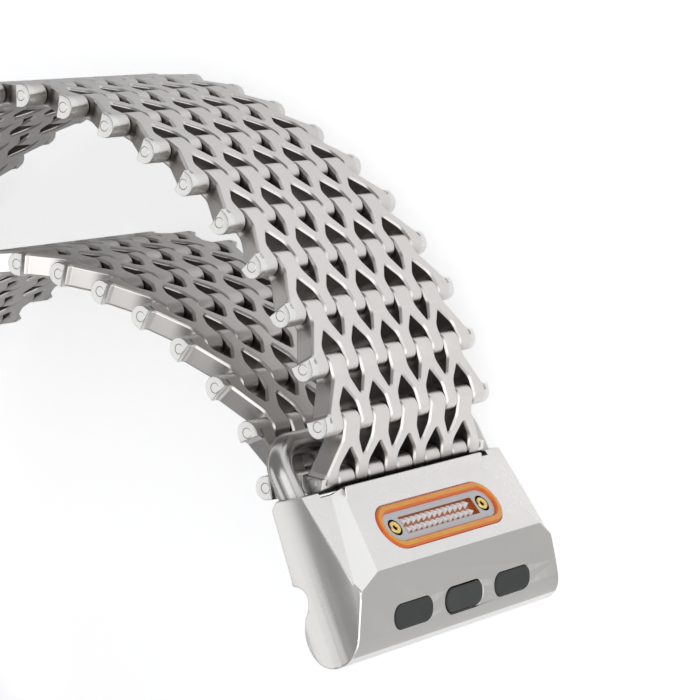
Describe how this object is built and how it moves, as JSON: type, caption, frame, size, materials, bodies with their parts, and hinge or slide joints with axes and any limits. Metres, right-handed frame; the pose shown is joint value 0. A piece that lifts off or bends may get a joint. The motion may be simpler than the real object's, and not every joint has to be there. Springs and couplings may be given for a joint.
{
  "type": "watch bracelet",
  "caption": "Metal link bracelet for a slide-in smartwatch case: zig-zag link plates on hinge pins, folded back through a wire loop, with two sliding lugs and a magnet tab.",
  "frame": {"origin": "centre of the bottom of the overall box, with the band lying on its side", "axes": "+Z runs along the hinge pins, from the edge that the band lies on to the other edge; +X runs from the rounded back of the band to the buckle lug; +Y towards the strands above the buckle"},
  "size_m": [0.0607, 0.059, 0.025],
  "materials": {
    "link_titanium": "satin",
    "lug_titanium": "satin, fine blasted",
    "cover_steel": "satin",
    "nickel_magnet": "plated",
    "loop_wire": "polished satin",
    "amber_enamel": "glossy",
    "inlay_grey": "glossy",
    "white_teeth": "glossy",
    "gold_rivet": "polished",
    "black_rubber": "matt",
    "latch_black": "matt",
    "spring_steel": "bright"
  },
  "bodies": {
    "buckle": {"buckle_lug": "lug_titanium", "buckle_loop": "loop_wire", "inlay_ring": "amber_enamel", "inlay_plate": "inlay_grey", "inlay_teeth": "white_teeth", "inlay_rivets": "gold_rivet", "buckle_pads": "black_rubber", "buckle_spring": "spring_steel"},
    "turn": {"turn_row": "link_titanium"},
    "outer_1": {"outer_row_1": "link_titanium"},
    "outer_2": {"outer_row_2": "link_titanium"},
    "outer_3": {"outer_row_3": "link_titanium"},
    "outer_4": {"outer_row_4": "link_titanium"},
    "outer_5": {"outer_row_5": "link_titanium"},
    "outer_6": {"outer_row_6": "link_titanium"},
    "outer_7": {"outer_row_7": "link_titanium"},
    "outer_8": {"outer_row_8": "link_titanium"},
    "outer_9": {"outer_row_9": "link_titanium"},
    "outer_10": {"outer_row_10": "link_titanium"},
    "outer_11": {"outer_row_11": "link_titanium"},
    "outer_12": {"outer_row_12": "link_titanium"},
    "outer_13": {"outer_row_13": "link_titanium"},
    "outer_14": {"outer_row_14": "link_titanium"},
    "outer_15": {"outer_row_15": "link_titanium"},
    "outer_16": {"outer_row_16": "link_titanium"},
    "tab": {"tab_shell": "lug_titanium", "tab_cover": "cover_steel", "tab_magnets": "nickel_magnet", "tab_pin": "link_titanium"},
    "inner_1": {"inner_row_1": "link_titanium"},
    "inner_2": {"inner_row_2": "link_titanium"},
    "inner_3": {"inner_row_3": "link_titanium"},
    "inner_4": {"inner_row_4": "link_titanium"},
    "inner_5": {"inner_row_5": "link_titanium"},
    "inner_6": {"inner_row_6": "link_titanium"},
    "inner_7": {"inner_row_7": "link_titanium"},
    "inner_8": {"inner_row_8": "link_titanium"},
    "inner_9": {"inner_row_9": "link_titanium"},
    "inner_10": {"inner_row_10": "link_titanium"},
    "inner_11": {"inner_row_11": "link_titanium"},
    "inner_12": {"inner_row_12": "link_titanium"},
    "inner_13": {"inner_row_13": "link_titanium"},
    "inner_14": {"inner_row_14": "link_titanium"},
    "inner_15": {"inner_row_15": "link_titanium"},
    "inner_16": {"inner_row_16": "link_titanium"},
    "inner_17": {"inner_row_17": "link_titanium"},
    "inner_18": {"inner_row_18": "link_titanium"},
    "inner_19": {"inner_row_19": "link_titanium"},
    "inner_20": {"inner_row_20": "link_titanium"},
    "inner_21": {"inner_row_21": "link_titanium"},
    "inner_22": {"inner_row_22": "link_titanium"},
    "inner_23": {"inner_row_23": "link_titanium"},
    "inner_24": {"inner_row_24": "link_titanium"},
    "case_end": {"case_lug": "lug_titanium", "case_pads": "black_rubber", "case_spring": "spring_steel"},
    "buckle_latch": {"buckle_button": "latch_black"},
    "case_latch": {"case_button": "latch_black"}
  },
  "joints": [
    {"name": "turn_swing", "type": "hinge", "parent": "buckle", "child": "turn", "pos_m": [0.0231, 0.00468, 0.0125], "axis": [0, 0, 1], "range_deg": [-8, 8]},
    {"name": "outer_hinge_1", "type": "hinge", "parent": "turn", "child": "outer_1", "pos_m": [0.02523, 0.00226, 0.0125], "axis": [0, 0, 1], "range_deg": [-18, 3]},
    {"name": "outer_hinge_2", "type": "hinge", "parent": "outer_1", "child": "outer_2", "pos_m": [0.02598, 0.00599, 0.0125], "axis": [0, 0, 1], "range_deg": [-18, 3]},
    {"name": "outer_hinge_3", "type": "hinge", "parent": "outer_2", "child": "outer_3", "pos_m": [0.02511, 0.00969, 0.0125], "axis": [0, 0, 1], "range_deg": [-18, 3]},
    {"name": "outer_hinge_4", "type": "hinge", "parent": "outer_3", "child": "outer_4", "pos_m": [0.02359, 0.01317, 0.0125], "axis": [0, 0, 1], "range_deg": [-18, 3]},
    {"name": "outer_hinge_5", "type": "hinge", "parent": "outer_4", "child": "outer_5", "pos_m": [0.02155, 0.01637, 0.0125], "axis": [0, 0, 1], "range_deg": [-18, 3]},
    {"name": "outer_hinge_6", "type": "hinge", "parent": "outer_5", "child": "outer_6", "pos_m": [0.01912, 0.0193, 0.0125], "axis": [0, 0, 1], "range_deg": [-18, 3]},
    {"name": "outer_hinge_7", "type": "hinge", "parent": "outer_6", "child": "outer_7", "pos_m": [0.01636, 0.02191, 0.0125], "axis": [0, 0, 1], "range_deg": [-18, 3]},
    {"name": "outer_hinge_8", "type": "hinge", "parent": "outer_7", "child": "outer_8", "pos_m": [0.01329, 0.02415, 0.0125], "axis": [0, 0, 1], "range_deg": [-18, 3]},
    {"name": "outer_hinge_9", "type": "hinge", "parent": "outer_8", "child": "outer_9", "pos_m": [0.00997, 0.026, 0.0125], "axis": [0, 0, 1], "range_deg": [-18, 3]},
    {"name": "outer_hinge_10", "type": "hinge", "parent": "outer_9", "child": "outer_10", "pos_m": [0.00645, 0.02742, 0.0125], "axis": [0, 0, 1], "range_deg": [-18, 3]},
    {"name": "outer_hinge_11", "type": "hinge", "parent": "outer_10", "child": "outer_11", "pos_m": [0.00278, 0.0284, 0.0125], "axis": [0, 0, 1], "range_deg": [-18, 3]},
    {"name": "outer_hinge_12", "type": "hinge", "parent": "outer_11", "child": "outer_12", "pos_m": [-0.00102, 0.02866, 0.0125], "axis": [0, 0, 1], "range_deg": [-18, 3]},
    {"name": "outer_hinge_13", "type": "hinge", "parent": "outer_12", "child": "outer_13", "pos_m": [-0.00479, 0.02819, 0.0125], "axis": [0, 0, 1], "range_deg": [-18, 3]},
    {"name": "outer_hinge_14", "type": "hinge", "parent": "outer_13", "child": "outer_14", "pos_m": [-0.0084, 0.02701, 0.0125], "axis": [0, 0, 1], "range_deg": [-18, 3]},
    {"name": "outer_hinge_15", "type": "hinge", "parent": "outer_14", "child": "outer_15", "pos_m": [-0.01191, 0.02555, 0.0125], "axis": [0, 0, 1], "range_deg": [-18, 3]},
    {"name": "outer_hinge_16", "type": "hinge", "parent": "outer_15", "child": "outer_16", "pos_m": [-0.01529, 0.02382, 0.0125], "axis": [0, 0, 1], "range_deg": [-18, 3]},
    {"name": "tab_hinge", "type": "hinge", "parent": "outer_16", "child": "tab", "pos_m": [-0.01853, 0.02183, 0.0125], "axis": [0, 0, 1], "range_deg": [-18, 3]},
    {"name": "inner_hinge_1", "type": "hinge", "parent": "turn", "child": "inner_1", "pos_m": [0.02145, 0.00191, 0.0125], "axis": [0, 0, 1], "range_deg": [-10, 5]},
    {"name": "inner_hinge_2", "type": "hinge", "parent": "inner_1", "child": "inner_2", "pos_m": [0.02024, 0.00551, 0.0125], "axis": [0, 0, 1], "range_deg": [-10, 5]},
    {"name": "inner_hinge_3", "type": "hinge", "parent": "inner_2", "child": "inner_3", "pos_m": [0.01783, 0.00845, 0.0125], "axis": [0, 0, 1], "range_deg": [-10, 5]},
    {"name": "inner_hinge_4", "type": "hinge", "parent": "inner_3", "child": "inner_4", "pos_m": [0.01504, 0.01104, 0.0125], "axis": [0, 0, 1], "range_deg": [-10, 5]},
    {"name": "inner_hinge_5", "type": "hinge", "parent": "inner_4", "child": "inner_5", "pos_m": [0.01192, 0.01321, 0.0125], "axis": [0, 0, 1], "range_deg": [-10, 5]},
    {"name": "inner_hinge_6", "type": "hinge", "parent": "inner_5", "child": "inner_6", "pos_m": [0.00854, 0.01494, 0.0125], "axis": [0, 0, 1], "range_deg": [-10, 5]},
    {"name": "inner_hinge_7", "type": "hinge", "parent": "inner_6", "child": "inner_7", "pos_m": [0.00495, 0.01618, 0.0125], "axis": [0, 0, 1], "range_deg": [-10, 5]},
    {"name": "inner_hinge_8", "type": "hinge", "parent": "inner_7", "child": "inner_8", "pos_m": [0.00122, 0.01692, 0.0125], "axis": [0, 0, 1], "range_deg": [-10, 5]},
    {"name": "inner_hinge_9", "type": "hinge", "parent": "inner_8", "child": "inner_9", "pos_m": [-0.00258, 0.01696, 0.0125], "axis": [0, 0, 1], "range_deg": [-10, 5]},
    {"name": "inner_hinge_10", "type": "hinge", "parent": "inner_9", "child": "inner_10", "pos_m": [-0.00632, 0.01632, 0.0125], "axis": [0, 0, 1], "range_deg": [-10, 5]},
    {"name": "inner_hinge_11", "type": "hinge", "parent": "inner_10", "child": "inner_11", "pos_m": [-0.00989, 0.015, 0.0125], "axis": [0, 0, 1], "range_deg": [-10, 5]},
    {"name": "inner_hinge_12", "type": "hinge", "parent": "inner_11", "child": "inner_12", "pos_m": [-0.01338, 0.0135, 0.0125], "axis": [0, 0, 1], "range_deg": [-10, 5]},
    {"name": "inner_hinge_13", "type": "hinge", "parent": "inner_12", "child": "inner_13", "pos_m": [-0.01678, 0.01181, 0.0125], "axis": [0, 0, 1], "range_deg": [-10, 5]},
    {"name": "inner_hinge_14", "type": "hinge", "parent": "inner_13", "child": "inner_14", "pos_m": [-0.01982, 0.00953, 0.0125], "axis": [0, 0, 1], "range_deg": [-10, 5]},
    {"name": "inner_hinge_15", "type": "hinge", "parent": "inner_14", "child": "inner_15", "pos_m": [-0.02239, 0.00673, 0.0125], "axis": [0, 0, 1], "range_deg": [-10, 5]},
    {"name": "inner_hinge_16", "type": "hinge", "parent": "inner_15", "child": "inner_16", "pos_m": [-0.0244, 0.0035, 0.0125], "axis": [0, 0, 1], "range_deg": [-10, 5]},
    {"name": "inner_hinge_17", "type": "hinge", "parent": "inner_16", "child": "inner_17", "pos_m": [-0.02578, -0.00004, 0.0125], "axis": [0, 0, 1], "range_deg": [-15, 10]},
    {"name": "inner_hinge_18", "type": "hinge", "parent": "inner_17", "child": "inner_18", "pos_m": [-0.02648, -0.00377, 0.0125], "axis": [0, 0, 1], "range_deg": [-15, 10]},
    {"name": "inner_hinge_19", "type": "hinge", "parent": "inner_18", "child": "inner_19", "pos_m": [-0.02649, -0.00757, 0.0125], "axis": [0, 0, 1], "range_deg": [-15, 10]},
    {"name": "inner_hinge_20", "type": "hinge", "parent": "inner_19", "child": "inner_20", "pos_m": [-0.0258, -0.01131, 0.0125], "axis": [0, 0, 1], "range_deg": [-15, 10]},
    {"name": "inner_hinge_21", "type": "hinge", "parent": "inner_20", "child": "inner_21", "pos_m": [-0.02443, -0.01485, 0.0125], "axis": [0, 0, 1], "range_deg": [-15, 10]},
    {"name": "inner_hinge_22", "type": "hinge", "parent": "inner_21", "child": "inner_22", "pos_m": [-0.02243, -0.01809, 0.0125], "axis": [0, 0, 1], "range_deg": [-15, 10]},
    {"name": "inner_hinge_23", "type": "hinge", "parent": "inner_22", "child": "inner_23", "pos_m": [-0.01988, -0.0209, 0.0125], "axis": [0, 0, 1], "range_deg": [-15, 10]},
    {"name": "inner_hinge_24", "type": "hinge", "parent": "inner_23", "child": "inner_24", "pos_m": [-0.01685, -0.02319, 0.0125], "axis": [0, 0, 1], "range_deg": [-15, 10]},
    {"name": "case_hinge", "type": "hinge", "parent": "inner_24", "child": "case_end", "pos_m": [-0.01345, -0.02488, 0.0125], "axis": [0, 0, 1], "range_deg": [-15, 10]},
    {"name": "buckle_latch_press", "type": "slide", "parent": "buckle", "child": "buckle_latch", "axis": [-0.9994, 0.0349, 0], "range_m": [0, 0.0006], "stiffness_N_per_m": 500, "springref_m": -0.0002, "deforming": ["buckle_spring"]},
    {"name": "case_latch_press", "type": "slide", "parent": "case_end", "child": "case_latch", "axis": [0.274, 0.9617, 0], "range_m": [0, 0.0006], "stiffness_N_per_m": 500, "springref_m": -0.0002, "deforming": ["case_spring"]}
  ]
}
